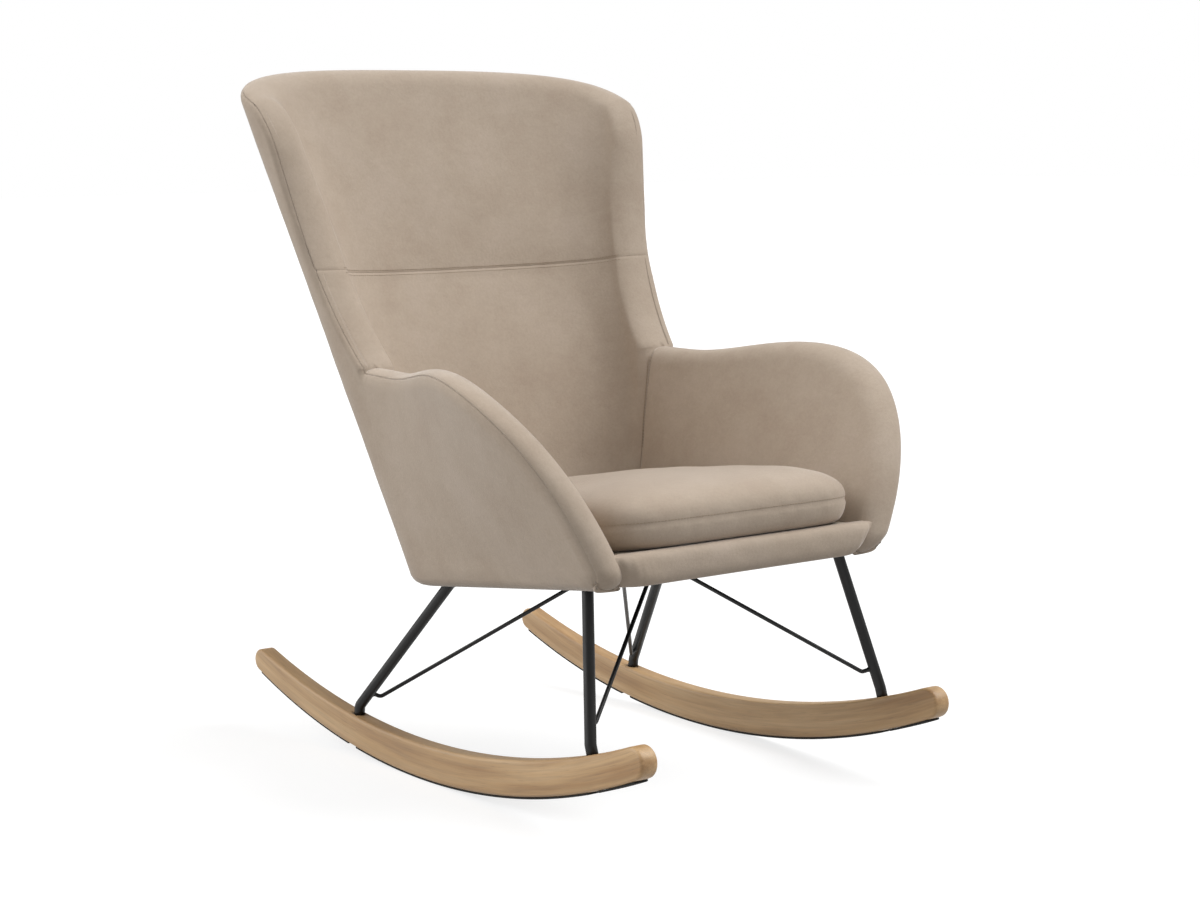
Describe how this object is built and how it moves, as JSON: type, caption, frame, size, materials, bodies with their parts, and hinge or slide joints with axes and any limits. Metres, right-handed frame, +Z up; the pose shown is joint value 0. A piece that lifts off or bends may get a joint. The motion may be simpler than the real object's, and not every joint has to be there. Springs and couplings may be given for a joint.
{
  "type": "rocking chair",
  "caption": "Upholstered tub rocking chair: high winged back, flared arms and loose seat cushion on splayed black steel legs with thin braces and curved wooden rockers.",
  "frame": {"origin": "centre of the footprint box, on the floor under the resting rockers", "axes": "+Z up, -Y the way the sitter faces, +X to the sitter's left"},
  "size_m": [0.7204, 1.0012, 1.0232],
  "materials": {
    "rocker_wood": "oiled beech, fine straight grain along the board",
    "tread_rubber": "matte black",
    "black_steel": "satin black powder coat",
    "bolt_steel": "black oxide",
    "bright_steel": "zinc plated",
    "lining": "black non-woven cloth",
    "plywood": "raw plywood",
    "upholstery": "greige short-pile velvet",
    "frame_steel": "plain steel tube",
    "strap_webbing": "elastic webbing"
  },
  "bodies": {
    "chair": {"rocker_left": "rocker_wood", "rocker_right": "rocker_wood", "strip_front_left": "tread_rubber", "strip_middle_left": "tread_rubber", "strip_rear_left": "tread_rubber", "strip_front_right": "tread_rubber", "strip_middle_right": "tread_rubber", "strip_rear_right": "tread_rubber", "leg_front_left": "black_steel", "leg_front_right": "black_steel", "leg_rear_left": "black_steel", "leg_rear_right": "black_steel", "brace_front_left": "black_steel", "brace_front_right": "black_steel", "brace_rear_left": "black_steel", "brace_rear_right": "black_steel", "leg_plate_front_left": "black_steel", "leg_plate_front_right": "black_steel", "leg_plate_rear_left": "black_steel", "leg_plate_rear_right": "black_steel", "brace_plate_front": "black_steel", "brace_plate_rear": "black_steel", "foot_bolts": "bolt_steel", "foot_plugs": "bright_steel", "leg_bolts": "bolt_steel", "tee_nuts": "bright_steel", "brace_screws": "bolt_steel", "dust_cover": "lining", "seat_board": "plywood", "seat_deck": "upholstery", "front_rail": "upholstery", "back_hoop": "frame_steel", "back_bars": "frame_steel", "arm_hoop_left": "frame_steel", "arm_hoop_right": "frame_steel", "back_straps": "strap_webbing", "arm_pad_left": "upholstery", "arm_pad_right": "upholstery", "arm_cover_left": "upholstery", "arm_cover_right": "upholstery", "inner_back_lower": "upholstery", "inner_back_upper": "upholstery", "outer_back_cover": "upholstery"},
    "cushion": {"seat_cushion": "upholstery"}
  },
  "joints": [
    {"name": "cushion_lift", "type": "slide", "parent": "chair", "child": "cushion", "axis": [0, 0, 1], "range_m": [0, 0.35]}
  ]
}
